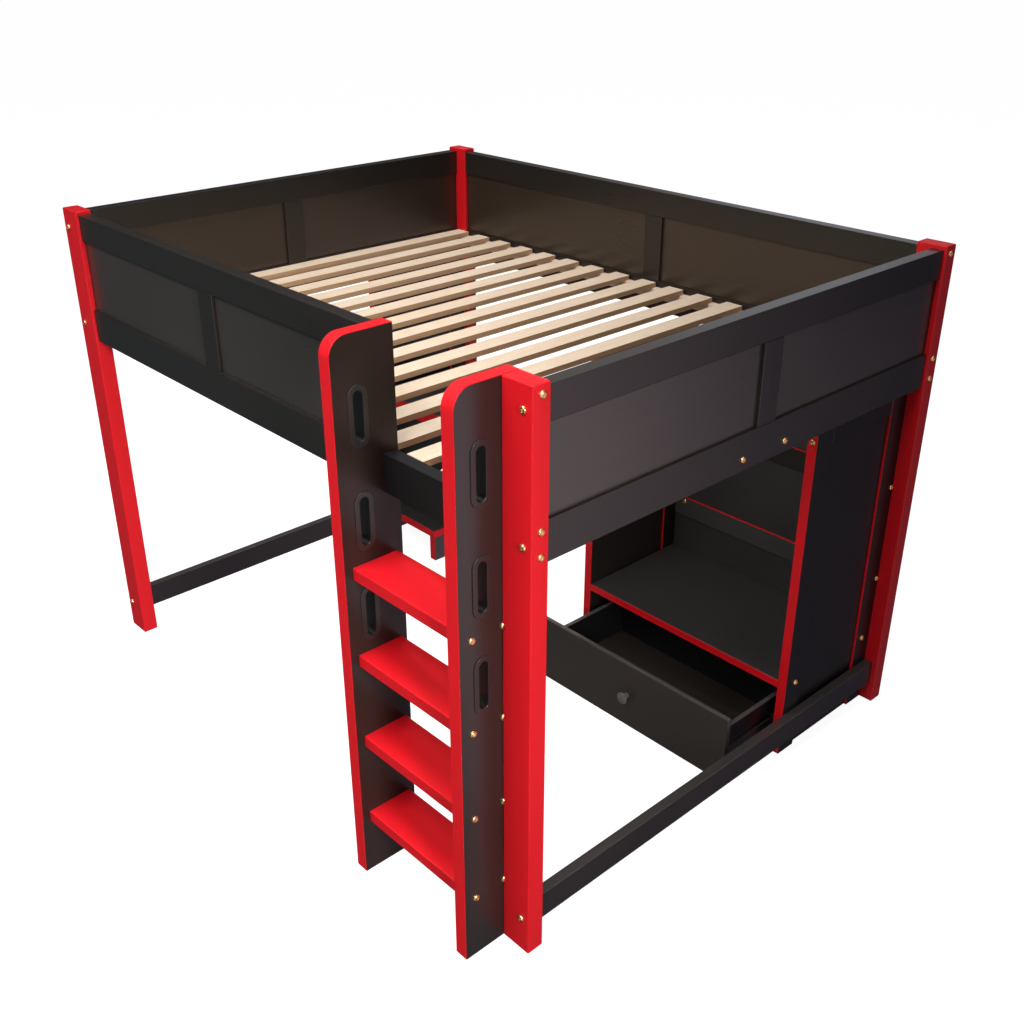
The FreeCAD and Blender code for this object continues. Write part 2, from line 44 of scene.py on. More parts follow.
# Easing of the arrises
weld_reach = 1e-5
arris_steps = 3
arris_angle = math.radians(40)
flat_weight = 100

# How far the black stain strays from its middle, to either side
stain_spread = 0.28

# Pine: the slats on the deck, how far apart their patterns lie in the noise, and how close their rings lie
slat_count = 17
pattern_shift = 40.0
ring_density = 90.0

# Floor and camera
floor_grid = 9
floor_roughness = 0.9
sensor_width = 36.0
sight_reach = 500.0

# What the satin boards mirror besides the lights. A patch has its middle as azimuth and elevation, the
# angles from there where it starts to fade and where it ends, its colour and its strength.
room_colour = (0.42, 0.44, 0.50)
room_strength = 0.055
room_patches = (
    ((28, -20), 12, 25, (1.0, 0.77, 0.87), 1.2),
    ((128, 25), 4, 17, (1.0, 0.93, 0.92), 0.45),
    ((122, 15.5), 2, 8, (0.82, 0.88, 1.0), 0.9),
    ((-124, -31), 8, 20, (1.0, 0.86, 0.70), 0.17),
    ((150, -32), 5, 38, (1.0, 0.95, 0.92), 0.45),
    ((-152, -19), 6, 22, (0.45, 0.85, 1.0), 0.085),
    ((-46, -22), 8, 35, (1.0, 0.95, 0.92), 1.2),
    ((0, 90), 20, 70, (1.0, 1.0, 1.0), 0.9),
    ((40, -25), 20, 80, (0.0, 0.18, 1.0), 0.027),
)

# Settings that the properties below share
colour_settings = {"subtype": "COLOR", "size": 3, "min": 0, "max": 1}
factor_settings = {"subtype": "FACTOR", "min": 0, "max": 1}
length_settings = {"unit": "LENGTH", "min": 0}
power_settings = {"subtype": "POWER", "min": 0}


# Sizes and colours

class LoftBedFinish(bpy.types.PropertyGroup):
    """Colours and textures of the bed's finishes, some of them copies that carry painted light and shade.
    """

    red: bpy.props.FloatVectorProperty(
        name="Red lacquer",
        description="Colour of the posts, treads and edge bands",
        default=(0.60, 0.0065, 0.012),
        **colour_settings,
    )
    # Painted light: the cabinet's red bands are a brighter copy of the posts' lacquer, by this share.
    cabinet_band_light_share: bpy.props.FloatProperty(
        name="Cabinet band share",
        description="Lacquer of the cabinet's bands, as a share of the posts'",
        min=0,
        default=1.25,
    )
    red_roughness: bpy.props.FloatProperty(
        name="Lacquer roughness",
        description="How dull the red lacquer is",
        default=0.42,
        **factor_settings,
    )
    red_gloss: bpy.props.FloatProperty(
        name="Lacquer gloss",
        description="How strongly the red lacquer mirrors the light",
        default=0.25,
        **factor_settings,
    )
    board: bpy.props.FloatVectorProperty(
        name="Black board",
        description="Middle stain of the guards' rails and the boards with no stain of their own",
        default=(0.0170, 0.0136, 0.0115),
        **colour_settings,
    )
    panel: bpy.props.FloatVectorProperty(
        name="Black panel",
        description="Middle stain of the guards' panels outside, and of the drawer's front and bottom",
        default=(0.0345, 0.0278, 0.0238),
        **colour_settings,
    )
    # Painted reflection: the brown stain on the back and left panels' inner faces stands in for the pine
    # mirrored in them.
    warm: bpy.props.FloatVectorProperty(
        name="Warm panel",
        description="Middle stain of the back and left panels' inner faces, which look across the pine",
        default=(0.0315, 0.0196, 0.0122),
        **colour_settings,
    )
    # Painted shade: a darker copy of the board stain for the entry rail, the left stretcher and the
    # drawer's sides and back.
    dark: bpy.props.FloatVectorProperty(
        name="Dark board",
        description="Middle stain of the entry rail, the left stretcher and the drawer's sides and back",
        default=(0.0105, 0.0098, 0.0100),
        **colour_settings,
    )
    # Painted shade: a darker copy of the board stain for the outer side frames under the deck.
    side: bpy.props.FloatVectorProperty(
        name="Black side",
        description="Middle stain of the outer side frames under the deck",
        default=(0.0086, 0.0083, 0.0088),
        **colour_settings,
    )
    # Painted light: a paler copy of the board stain for the cabinet's shelf and back, the desk's top and
    # the pedestal's base.
    inside: bpy.props.FloatVectorProperty(
        name="Black inside",
        description="Middle stain of the cabinet's shelf and back, the desk's top and the pedestal's base",
        default=(0.0420, 0.0395, 0.0385),
        **colour_settings,
    )
    # Painted reflection: the left stile's stain is reddish, for the red lacquer mirrored in it.
    stile: bpy.props.FloatVectorProperty(
        name="Black stile",
        description="Middle stain of the ladder's left stile",
        default=(0.0225, 0.0136, 0.0112),
        **colour_settings,
    )
    # Painted shade: the left guard is a darker copy of the other guards.
    left_shade_share: bpy.props.FloatProperty(
        name="Left guard share",
        description="Stain of the left guard, as a share of the other guards'",
        min=0,
        default=0.78,
    )
    # Painted light: the cabinet's back rail is a paler copy of the shelf's stain.
    back_rail_light_share: bpy.props.FloatProperty(
        name="Back rail share",
        description="Stain of the rail across the cabinet's back, as a share of the shelf's",
        min=0,
        default=1.45,
    )
    # Painted light: the paler colour on the upward faces of the low boards.
    lit_top: bpy.props.FloatVectorProperty(
        name="Worn edge",
        description="Colour of the rubbed upper edges of the low boards",
        default=(0.095, 0.085, 0.080),
        **colour_settings,
    )
    # Painted light on the drawer's upward faces, as a share.
    drawer_top_light: bpy.props.FloatProperty(
        name="Drawer wear",
        description="How far the upper edges of the drawer are rubbed",
        default=0.9,
        **factor_settings,
    )
    # Painted light on the low stretchers' upward faces, as a share.
    stretcher_top_light: bpy.props.FloatProperty(
        name="Stretcher wear",
        description="How far the upper edges of the low stretchers are rubbed",
        default=0.4,
        **factor_settings,
    )
    board_roughness: bpy.props.FloatProperty(
        name="Board roughness",
        description="How dull the stained boards are",
        default=0.30,
        **factor_settings,
    )
    board_gloss: bpy.props.FloatProperty(
        name="Board gloss",
        description="How strongly the rails and the boards inside the cabinet mirror the light",
        default=0.5,
        **factor_settings,
    )
    panel_gloss: bpy.props.FloatProperty(
        name="Panel gloss",
        description="How strongly the guards' panels and the drawer's front mirror the light",
        default=0.7,
        **factor_settings,
    )
    low_gloss: bpy.props.FloatProperty(
        name="Low gloss",
        description="How strongly the dark boards, outer side frames and left stile mirror the light",
        default=0.22,
        **factor_settings,
    )
    pine: bpy.props.FloatVectorProperty(
        name="Pine",
        description="Colour of the pale wood between the growth lines",
        default=(0.80, 0.645, 0.495),
        **colour_settings,
    )
    pine_line: bpy.props.FloatVectorProperty(
        name="Pine growth lines",
        description="Colour of the darker growth lines in the pine",
        default=(0.66, 0.46, 0.29),
        **colour_settings,
    )
    # Painted shade: the darker brown of the slats' sides.
    pine_side_shade: bpy.props.FloatVectorProperty(
        name="Pine edges",
        description="Colour of the sawn edges of the slats",
        default=(0.62, 0.38, 0.21),
        **colour_settings,
    )
    pine_roughness: bpy.props.FloatProperty(
        name="Pine roughness",
        description="How dull the bare pine is",
        default=0.62,
        **factor_settings,
    )
    pine_gloss: bpy.props.FloatProperty(
        name="Pine gloss",
        description="How strongly the bare pine mirrors the light",
        default=0.3,
        **factor_settings,
    )
    brass: bpy.props.FloatVectorProperty(
        name="Brass",
        description="Colour of the bolt heads",
        default=(0.88, 0.56, 0.27),
        **colour_settings,
    )
    brass_roughness: bpy.props.FloatProperty(
        name="Brass roughness",
        description="How dull the bolt heads are",
        default=0.31,
        **factor_settings,
    )
    liner: bpy.props.FloatVectorProperty(
        name="Liner plastic",
        description="Colour of the hand-hold liners",
        default=(0.0150, 0.0125, 0.0115),
        **colour_settings,
    )
    knob: bpy.props.FloatVectorProperty(
        name="Knob plastic",
        description="Colour of the drawer knob",
        default=(0.125, 0.120, 0.113),
        **colour_settings,
    )
    plastic_roughness: bpy.props.FloatProperty(
        name="Plastic roughness",
        description="How dull the liners and the knob are",
        default=0.36,
        **factor_settings,
    )
    plastic_gloss: bpy.props.FloatProperty(
        name="Plastic gloss",
        description="How strongly the liners and the knob mirror the light",
        default=0.5,
        **factor_settings,
    )
    arris: bpy.props.FloatProperty(
        name="Arris",
        description="How far the arrises of the boards are eased",
        default=0.0018,
        **length_settings,
    )
    post_arris: bpy.props.FloatProperty(
        name="Post arris",
        description="How far the arrises of the posts are eased",
        default=0.0035,
        **length_settings,
    )
    fine_arris: bpy.props.FloatProperty(
        name="Fine arris",
        description="How far the arrises of the stiles, the slats and the thin red bands are eased",
        default=0.0007,
        **length_settings,
    )


class LoftBedStage(bpy.types.PropertyGroup):
    """The floor, lights and camera round the bed."""

    floor: bpy.props.FloatVectorProperty(
        name="Floor",
        description="Colour of the floor",
        default=(0.30, 0.30, 0.30),
        **colour_settings,
    )
    floor_glow: bpy.props.FloatProperty(
        name="Floor glow",
        description="Light that the floor gives off by itself, which keeps its shadows pale",
        min=0,
        default=0.92,
    )
    floor_reach: bpy.props.FloatProperty(
        name="Floor reach",
        description="From the middle of the floor to its edges",
        default=80.0,
        **length_settings,
    )
    sky_strength: bpy.props.FloatProperty(
        name="Sky strength",
        description="Brightness of the soft light from all round",
        min=0,
        default=0.23,
    )
    key_power: bpy.props.FloatProperty(
        name="Key power",
        description="Power of the large soft light on the right",
        default=23.5,
        **power_settings,
    )
    front_power: bpy.props.FloatProperty(
        name="Front power",
        description="Power of the large soft light in front",
        default=287.0,
        **power_settings,
    )
    fill_power: bpy.props.FloatProperty(
        name="Fill power",
        description="Power of the low soft light in front, which reaches under the deck",
        default=29.0,
        **power_settings,
    )
    top_power: bpy.props.FloatProperty(
        name="Top power",
        description="Power of the light over the ladder and the near half of the deck",
        default=12.5,
        **power_settings,
    )
    deck_power: bpy.props.FloatProperty(
        name="Deck power",
        description="Power of the light over the far half of the deck",
        default=3.7,
        **power_settings,
    )
    rear_power: bpy.props.FloatProperty(
        name="Rear power",
        description="Power of the soft light behind, for the back and the left end",
        default=85.0,
        **power_settings,
    )
    camera_place: bpy.props.FloatVectorProperty(
        name="Camera place",
        description="Where the camera stands",
        subtype="TRANSLATION",
        unit="LENGTH",
        size=3,
        default=(2.6118, -2.2410, 2.3487),
    )
    camera_azimuth: bpy.props.FloatProperty(
        name="Camera azimuth",
        description="How far round from the front the camera stands",
        subtype="ANGLE",
        default=math.radians(47.210),
    )
    camera_elevation: bpy.props.FloatProperty(
        name="Camera elevation",
        description="How steeply the camera looks down",
        subtype="ANGLE",
        default=math.radians(26.975),
    )
    lens: bpy.props.FloatProperty(
        name="Lens",
        description="Focal length on a sensor 36 mm wide",
        unit="CAMERA",
        min=1,
        default=41.36,
    )


# Shader maths

class Signal:
    """An output of a node. Arithmetic on it adds Math nodes to the same tree."""

    def __init__(self, tree, output):
        self.tree = tree
        self.output = output

    def combined(self, operation, first, second):
        return self.tree.node("ShaderNodeMath", {"operation": operation}, {0: first, 1: second})

    def __add__(self, other):
        return self.combined("ADD", self, other)

    def __radd__(self, other):
        return self.combined("ADD", other, self)

    def __sub__(self, other):
        return self.combined("SUBTRACT", self, other)

    def __rsub__(self, other):
        return self.combined("SUBTRACT", other, self)

    def __mul__(self, other):
        return self.combined("MULTIPLY", self, other)

    def __rmul__(self, other):
        return self.combined("MULTIPLY", other, self)

    def __pow__(self, other):
        return self.combined("POWER", self, other)


class NodeTree:
    """A material's or a world's nodes, added one by one."""

    def __init__(self, tree):
        tree.nodes.clear()
        self.tree = tree

    def node(self, kind, settings=None, sockets=None, output=0):
        """Adds a node of a type with its settings and its sockets' values or links; returns one output."""
        made = self.tree.nodes.new(kind)
        for name, value in (settings or {}).items():
            setattr(made, name, value)
        for key, value in (sockets or {}).items():
            if isinstance(value, Signal):
                self.tree.links.new(value.output, made.inputs[key])
            else:
                made.inputs[key].default_value = value
        return Signal(self, made.outputs[output]) if made.outputs else None


def place_of(tree):
    """The place of a point in its object, in metres."""
    return tree.node("ShaderNodeTexCoord", output="Object")


def facing(tree, axis):
    """How far a face looks along one axis of its object, from -1 to 1."""
    normal = tree.node("ShaderNodeTexCoord", output="Normal")
    return tree.node("ShaderNodeSeparateXYZ", {}, {"Vector": normal}, output=axis)


def streaks(tree, place, along, length, width, detail=3.0, shift=0.0):
    """Noise drawn out along one axis into marks about that long and wide, in metres, evenly about 0."""
    scale = [1 / width] * 3
    scale[along] = 1 / length
    drawn = tree.node("ShaderNodeVectorMath", {"operation": "MULTIPLY"}, {0: place, 1: scale})
    sockets = {"Vector": drawn, "W": shift, "Scale": 1.0, "Detail": detail, "Roughness": 0.6}
    return tree.node("ShaderNodeTexNoise", {"noise_dimensions": "4D"}, sockets) - 0.5


def clouds(tree, place, size, detail=2.0):
    """Noise in soft patches about that size, in metres, evenly about 0."""
    sockets = {"Vector": place, "Scale": 1 / size, "Detail": detail, "Roughness": 0.5}
    return tree.node("ShaderNodeTexNoise", {}, sockets) - 0.5


def shade(colour, share=1.0):
    """A colour with its red, green and blue multiplied by a share, and full alpha."""
    return (colour[0] * share, colour[1] * share, colour[2] * share, 1.0)


def mixed(tree, factor, first, second):
    """A colour between two; the factor is held from 0 to 1."""
    sockets = {0: factor, 6: first, 7: second}
    return tree.node("ShaderNodeMix", {"data_type": "RGBA", "clamp_factor": True}, sockets, output=2)


def varied(tree, tone, colour, spread, share=1.0):
    """A colour times a share, darker by the spread at a tone of 0 and paler by it at a tone of 1."""
    return mixed(tree, tone, shade(colour, (1 - spread) * share), shade(colour, (1 + spread) * share))


def relief(tree, height, depth):
    """A normal bent by a height from 0 to 1, as a relief that many metres deep."""
    sockets = {"Strength": 1.0, "Distance": depth, "Height": height}
    return tree.node("ShaderNodeBump", {}, sockets, output="Normal")


def surface(tree, colour, roughness, normal, constants):
    """The shader and its output: colour, roughness and normal may vary, and the rest is constant."""
    sockets = {"Base Color": colour, "Roughness": roughness, "Normal": normal}
    shader = tree.node("ShaderNodeBsdfPrincipled", {}, {**sockets, **constants}, output="BSDF")
    tree.node("ShaderNodeOutputMaterial", {}, {"Surface": shader})


def finish(name, fill):
    """The material of that name, filled once by a function of its tree."""
    ready = bpy.data.materials.get(name)
    if ready is None:
        ready = bpy.data.materials.new(name)
        ready.use_nodes = True
        fill(NodeTree(ready.node_tree))
    return ready


# Finishes

def red_lacquer(look, along, share=1.0):
    """Satin red lacquer: faint grain under it, a slight flow in its film, and slow changes of depth."""
    def fill(tree):
        place = place_of(tree)
        grain = streaks(tree, place, along, length=0.30, width=0.012)
        flow = clouds(tree, place, size=0.004)
        depth = clouds(tree, place, size=0.35)
        tone = 0.5 + grain * 0.6 + depth * 0.8
        colour = varied(tree, tone, look.red, spread=0.07, share=share)
        roughness = look.red_roughness + flow * 0.06 + depth * 0.10
        normal = relief(tree, grain * 0.5 + flow * 0.5, depth=0.00012)
        surface(tree, colour, roughness, normal, {"Specular IOR Level": look.red_gloss})
    return finish(f"red_lacquer_{'xyz'[along]}_{share:.2f}", fill)


def black_board(look, along, kind="board", toplit=0.0, share=1.0):
    """Black stain in satin over a fine straight grain: streaks of tone, fibres, and slow clouds.

    The kinds differ in their stain and gloss, and the share multiplies the stain. Some kinds and shares
    are copies of the board stain that paint light and shade: darker for the entry rail, the left
    stretcher, the drawer's sides and back, the outer side frames and the left guard, paler for the
    cabinet's shelf, back and back rail, the desk's top and the pedestal's base, and reddish on the left
    stile as a painted reflection of the red lacquer beside it. The back and left guards' panel has a
    painted reflection of the pine, brown, on its +X and -Y side, which faces the deck, and an inside board
    has painted light, paler on top and in front. A board with painted top light is paler on its upward
    faces by that share, broken up by the grain.
    """
    stain, gloss = {
        "board": (look.board, look.board_gloss),
        "panel": (look.panel, look.panel_gloss),
        "warm": (look.warm, look.panel_gloss),
        "dark": (look.dark, look.low_gloss),
        "side": (look.side, look.low_gloss),
        "stile": (look.stile, look.low_gloss),
        "inside": (look.inside, look.board_gloss),
    }[kind]

    def fill(tree):
        place = place_of(tree)
        grain = streaks(tree, place, along, length=0.30, width=0.007, detail=2.0)
        fibres = streaks(tree, place, along, length=0.06, width=0.0012)
        depth = clouds(tree, place, size=0.30)
        tone = 0.5 + grain * 0.7 + fibres * 0.2 + depth * 0.6
        colour = varied(tree, tone, stain, spread=stain_spread, share=share)
        # Painted reflection of the pine: faces towards the deck get the brown stain, the others the panel
        # stain.
        if kind == "warm":
            outside = varied(tree, tone, look.panel, spread=stain_spread)
            colour = mixed(tree, facing(tree, X) - facing(tree, Y), outside, colour)
        # Painted light: top and front faces get the paler inside stain, the others the board stain.
        if kind == "inside":
            outside = varied(tree, tone, look.board, spread=stain_spread)
            colour = mixed(tree, facing(tree, Z) - facing(tree, Y), outside, colour)
        # Painted light: upward faces turn paler by that share, broken up by the grain.
        if toplit > 0:
            bare = varied(tree, tone, look.lit_top, spread=0.2)
            colour = mixed(tree, facing(tree, Z) * (1 + grain * 0.5) * toplit, colour, bare)
        roughness = look.board_roughness + grain * 0.07 + fibres * 0.03 + depth * 0.06
        normal = relief(tree, grain * 0.6 + fibres * 0.4, depth=0.00005)
        surface(tree, colour, roughness, normal, {"Specular IOR Level": gloss})
    return finish(f"black_{kind}_{'xyz'[along]}_{toplit:.2f}_{share:.2f}", fill)


def bare_pine(look, along):
    """Bare planed pine: each slat has its own growth lines and tint, with fibres along them, and painted
    shade, darker brown, on its sides.
    """
    low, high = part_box("slats")
    pitch = (high.x - low.x) / slat_count

    def fill(tree):
        place = place_of(tree)
        across = tree.node("ShaderNodeSeparateXYZ", {}, {"Vector": place}, output=X)
        slats_passed = (across - low.x) * (1 / pitch)
        number = tree.node("ShaderNodeMath", {"operation": "FLOOR"}, {0: slats_passed})
        one_number = {"noise_dimensions": "1D"}
        own = tree.node("ShaderNodeTexWhiteNoise", one_number, {"W": number}, output="Value")
        shift = own * pattern_shift
        growth = streaks(tree, place, along, length=0.9, width=0.030, detail=2.0, shift=shift)
        lines = tree.node("ShaderNodeMath", {"operation": "SINE"}, {0: growth * ring_density})
        fibres = streaks(tree, place, along, length=0.05, width=0.0015, detail=2.0, shift=shift)
        late = (lines * 0.5 + 0.5) ** 2.0
        tone = late * 0.32 + fibres * 0.35 + (own - 0.5) * 0.18 + 0.10
        planed = mixed(tree, tone, shade(look.pine), shade(look.pine_line))
        # Painted shade: the slats' sides are a darker brown than their tops.
        shaded_sides = mixed(tree, tone, shade(look.pine_side_shade), shade(look.pine_side_shade, 0.7))
        sideways = facing(tree, X)
        colour = mixed(tree, sideways * sideways, planed, shaded_sides)
        roughness = look.pine_roughness + fibres * 0.15 - late * 0.08
        normal = relief(tree, fibres * 0.5 + late * 0.3, depth=0.0002)
        surface(tree, colour, roughness, normal, {"Specular IOR Level": look.pine_gloss})
    return finish(f"pine_{'xyz'[along]}", fill)


def brass_plate(look):
    """Brass plate, bright and duller in patches, with fine scratches."""
    def fill(tree):
        place = place_of(tree)
        tarnish = clouds(tree, place, size=0.006, detail=3.0)
        scratches = clouds(tree, place, size=0.0012)
        dull = shade(look.brass, 0.75)
        bright = shade(look.brass, 1.1)
        colour = mixed(tree, 0.5 + tarnish * 1.6, dull, bright)
        roughness = look.brass_roughness + tarnish * 0.25 + scratches * 0.12
        normal = relief(tree, scratches, depth=0.00004)
        surface(tree, colour, roughness, normal, {"Metallic": 1.0})
    return finish("brass_plate", fill)


def moulded_plastic(look, name, tint):
    """Moulded plastic with a fine spark texture."""
    def fill(tree):
        place = place_of(tree)
        spark = clouds(tree, place, size=0.0012)
        depth = clouds(tree, place, size=0.04)
        colour = varied(tree, 0.5 + spark * 0.8 + depth * 0.6, tint, spread=0.3)
        roughness = look.plastic_roughness + spark * 0.18 + depth * 0.10
        normal = relief(tree, spark, depth=0.00006)
        surface(tree, colour, roughness, normal, {"Specular IOR Level": look.plastic_gloss})
    return finish(name, fill)


# Dressing the nodes

def dress(names, material, arris=0.0):
    """Gives the named nodes a finish, and eases their arrises by that radius, in metres."""
    for name in names:
        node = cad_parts[name]
        for slot in node.material_slots:
            slot.material = material
        if arris > 0:
            ease(node, arris)


def ease(node, arris):
    """Rounds a node's arrises: joins its triangles, rounds its sharp edges and keeps its flats flat."""
    weld = node.modifiers.new("Weld", "WELD")
    weld.merge_threshold = weld_reach
    rounding = node.modifiers.new("Arris", "BEVEL")
    rounding.width = arris
    rounding.segments = arris_steps
    rounding.limit_method = "ANGLE"
    rounding.angle_limit = arris_angle
    rounding.use_clamp_overlap = False
    rounding.loop_slide = False
    flats = node.modifiers.new("Flats", "WEIGHTED_NORMAL")
    flats.weight = flat_weight


class LOFT_BED_OT_posts(bpy.types.Operator):
    """Lacquer the four corner posts"""

    bl_idname = "loft_bed.posts"
    bl_label = "Corner posts"

    def execute(self, context):
        look = context.scene.loft_bed_finish
        posts = [f"post_{end}_{side}" for end in ("front", "back") for side in ("left", "right")]
        dress(posts, red_lacquer(look, Z), look.post_arris)
        return {"FINISHED"}


class LOFT_BED_OT_guards(bpy.types.Operator):
    """Stain the guards' rails, panels and mullions, and the low stretchers, along their grain, with
    painted shade on the left guard, the entry rail and the left stretcher, a painted reflection of the
    pine on the back and left panels' inner faces, and painted light on the stretchers' upward faces
    """

    bl_idname = "loft_bed.guards"
    bl_label = "Guards and stretchers"

    def execute(self, context):
        look = context.scene.loft_bed_finish
        for side, along in (("front", X), ("back", X), ("left", Y), ("right", Y)):
            # Painted shade on the left guard.
            share = look.left_shade_share if side == "left" else 1.0
            rails = [f"{side}_top_rail", f"{side}_lower_rail"]
            dress(rails, black_board(look, along, share=share), look.arris)
            # The back and left panels carry a painted reflection of the pine.
            kind = "panel" if side in ("front", "right") else "warm"
            dress([f"{side}_panels"], black_board(look, along, kind, share=share), look.arris)
        # Painted shade on the entry rail and the left stretcher; painted light on both stretchers' upward
        # faces.
        dress(["entry_rail"], black_board(look, X, "dark"), look.arris)
        dress(["guard_mullions"], black_board(look, Z), look.arris)
        dress(["stretcher_left"], black_board(look, Y, "dark", look.stretcher_top_light), look.arris)
        dress(["stretcher_right"], black_board(look, Y, "board", look.stretcher_top_light), look.arris)
        return {"FINISHED"}


class LOFT_BED_OT_deck(bpy.types.Operator):
    """Finish the slats and the ledgers under them as bare pine, with painted shade, darker brown, on their
    sides
    """

    bl_idname = "loft_bed.deck"
    bl_label = "Slatted deck"

    def execute(self, context):
        look = context.scene.loft_bed_finish
        dress(["slats", "slat_ledgers"], bare_pine(look, Y), look.fine_arris)
        return {"FINISHED"}


class LOFT_BED_OT_ladder(bpy.types.Operator):
    """Finish the ladder: stained stiles, the left one reddish as a painted reflection of the red lacquer
    beside it, lacquered treads and bands, moulded hand-hold liners
    """

    bl_idname = "loft_bed.ladder"
    bl_label = "Ladder"

    def execute(self, context):
        look = context.scene.loft_bed_finish
        # Painted reflection: reddish stain on the left stile.
        dress(["ladder_stile_left"], black_board(look, Z, "stile"), look.fine_arris)
        dress(["ladder_stile_right"], black_board(look, Z), look.fine_arris)
        dress(["ladder_treads"], red_lacquer(look, X), look.arris)
        dress(["ladder_edge_bands"], red_lacquer(look, Z), look.fine_arris)
        dress(["hand_hold_liners"], moulded_plastic(look, "liner_plastic", look.liner))
        return {"FINISHED"}


class LOFT_BED_OT_cabinet(bpy.types.Operator):
    """Finish the cabinet, its side frames and the desk end's frame, with painted shade on the right and
    desk-end frames and painted light on the shelf, the back, the back rail and the red bands
    """

    bl_idname = "loft_bed.cabinet"
    bl_label = "Cabinet"

    def execute(self, context):
        look = context.scene.loft_bed_finish
        # Painted shade on the right and desk-end frames.
        for side, kind in (("cabinet_left", "board"), ("cabinet_right", "side"), ("desk_end", "side")):
            uprights = [f"{side}_front_stile", f"{side}_rear_stile", f"{side}_panel"]
            dress(uprights, black_board(look, Z, kind), look.arris)
            dress([f"{side}_top_rail"], black_board(look, Y, kind), look.arris)
        # Painted light on the shelf, the back and its mid rail.
        dress(["cabinet_shelf", "cabinet_back_panels"], black_board(look, X, "inside"), look.arris)
        back_rail = black_board(look, X, "inside", share=look.back_rail_light_share)
        dress(["cabinet_back_mid_rail"], back_rail, look.arris)
        dress(["cabinet_back_upper_rail"], black_board(look, X), look.arris)
        # Painted light: brighter red on the cabinet's bands.
        dress(["cabinet_edge_bands"], red_lacquer(look, Z, look.cabinet_band_light_share), look.fine_arris)
        dress(["drawer_runners"], black_board(look, Y), look.arris)
        return {"FINISHED"}


class LOFT_BED_OT_drawer(bpy.types.Operator):
    """Finish the drawer's boards and its knob, with painted shade on its sides and back and painted light
    on the upward faces of its boards
    """

    bl_idname = "loft_bed.drawer"
    bl_label = "Drawer"

    def execute(self, context):
        look = context.scene.loft_bed_finish
        dress(["drawer_bottom"], black_board(look, X, "panel"), look.arris)
        # Painted light on the upward faces; painted shade on the drawer's sides and back.
        dress(["drawer_front"], black_board(look, X, "panel", look.drawer_top_light), look.arris)
        dress(["drawer_back"], black_board(look, X, "dark", look.drawer_top_light), look.arris)
        dress(["drawer_sides"], black_board(look, Y, "dark", look.drawer_top_light), look.arris)
        dress(["drawer_knob"], moulded_plastic(look, "knob_plastic", look.knob))
        return {"FINISHED"}


class LOFT_BED_OT_desk(bpy.types.Operator):
    """Finish the desk and the pedestal under it, with painted light on the desk's top and the pedestal's
    base, paler on top and in front
    """

    bl_idname = "loft_bed.desk"
    bl_label = "Desk and pedestal"

    def execute(self, context):
        look = context.scene.loft_bed_finish
        # Painted light on the desk's top and the pedestal's base.
        dress(["desk_top", "pedestal_base"], black_board(look, X, "inside"), look.arris)
        dress(["desk_front_rail", "pedestal_foot"], black_board(look, X), look.arris)
        dress(["pedestal_front", "pedestal_side"], black_board(look, Z), look.arris)
        dress(["desk_edge_bands"], red_lacquer(look, X))
        return {"FINISHED"}


class LOFT_BED_OT_bolts(bpy.types.Operator):
    """Finish every bolt in brass plate"""

    bl_idname = "loft_bed.bolts"
    bl_label = "Bolts"

    def execute(self, context):
        look = context.scene.loft_bed_finish
        dress(["frame_bolts", "tread_bolts", "cabinet_bolts"], brass_plate(look))
        return {"FINISHED"}


# Stage

def level_grid(reach, count):
    """A level square on a grid: x and y run evenly from -reach to reach, and z is 0 everywhere."""
    line = np.linspace(-reach, reach, count)
    x, y = np.meshgrid(line, line)
    points = np.stack([x.ravel(), y.ravel(), np.zeros(count * count)], axis=1)
    first = (np.arange(count - 1)[:, None] * count + np.arange(count - 1)[None, :]).ravel()
    faces = np.stack([first, first + 1, first + count + 1, first + count], axis=1)
    return points, faces


def studio_floor(stage):
    """A plain pale floor, which the gloss of the boards does not mirror."""
    points, faces = level_grid(stage.floor_reach, floor_grid)
    mesh = bpy.data.meshes.new("floor")
    mesh.from_pydata(points.tolist(), [], faces.tolist())
    floor = bpy.data.objects.new("floor", mesh)
    bpy.context.scene.collection.objects.link(floor)

    def fill(tree):
        mottle = clouds(tree, place_of(tree), size=0.8)
        colour = varied(tree, 0.5 + mottle, stage.floor, spread=0.01)
        normal = relief(tree, mottle, depth=0.0001)
        glow_settings = {"Emission Color": white, "Emission Strength": stage.floor_glow}
        surface(tree, colour, floor_roughness, normal, {"Specular IOR Level": 0.0, **glow_settings})
    mesh.materials.append(finish("studio_floor", fill))
    floor.visible_glossy = False
    floor.visible_diffuse = False


def towards(azimuth, elevation):
    """A direction: degrees round from +X towards +Y, and degrees up."""
    round_about = math.radians(azimuth)
    up = math.radians(elevation)
    return (math.cos(round_about) * math.cos(up), math.sin(round_about) * math.cos(up), math.sin(up))


def glow(tree, direction, middle, inner, outer, colour, strength):
    """A round patch of sky: full within one angle of its middle and gone at another, in degrees."""
    sockets = {0: direction, 1: towards(*middle)}
    nearness = tree.node("ShaderNodeVectorMath", {"operation": "DOT_PRODUCT"}, sockets, output="Value")
    fade = {
        "Value": nearness,
        "From Min": math.cos(math.radians(outer)),
        "From Max": math.cos(math.radians(inner)),
        "To Min": 0.0,
        "To Max": strength,
    }
    share = tree.node("ShaderNodeMapRange", {"interpolation_type": "SMOOTHSTEP"}, fade)
    return tree.node("ShaderNodeBackground", {}, {"Color": (*colour, 1.0), "Strength": share})


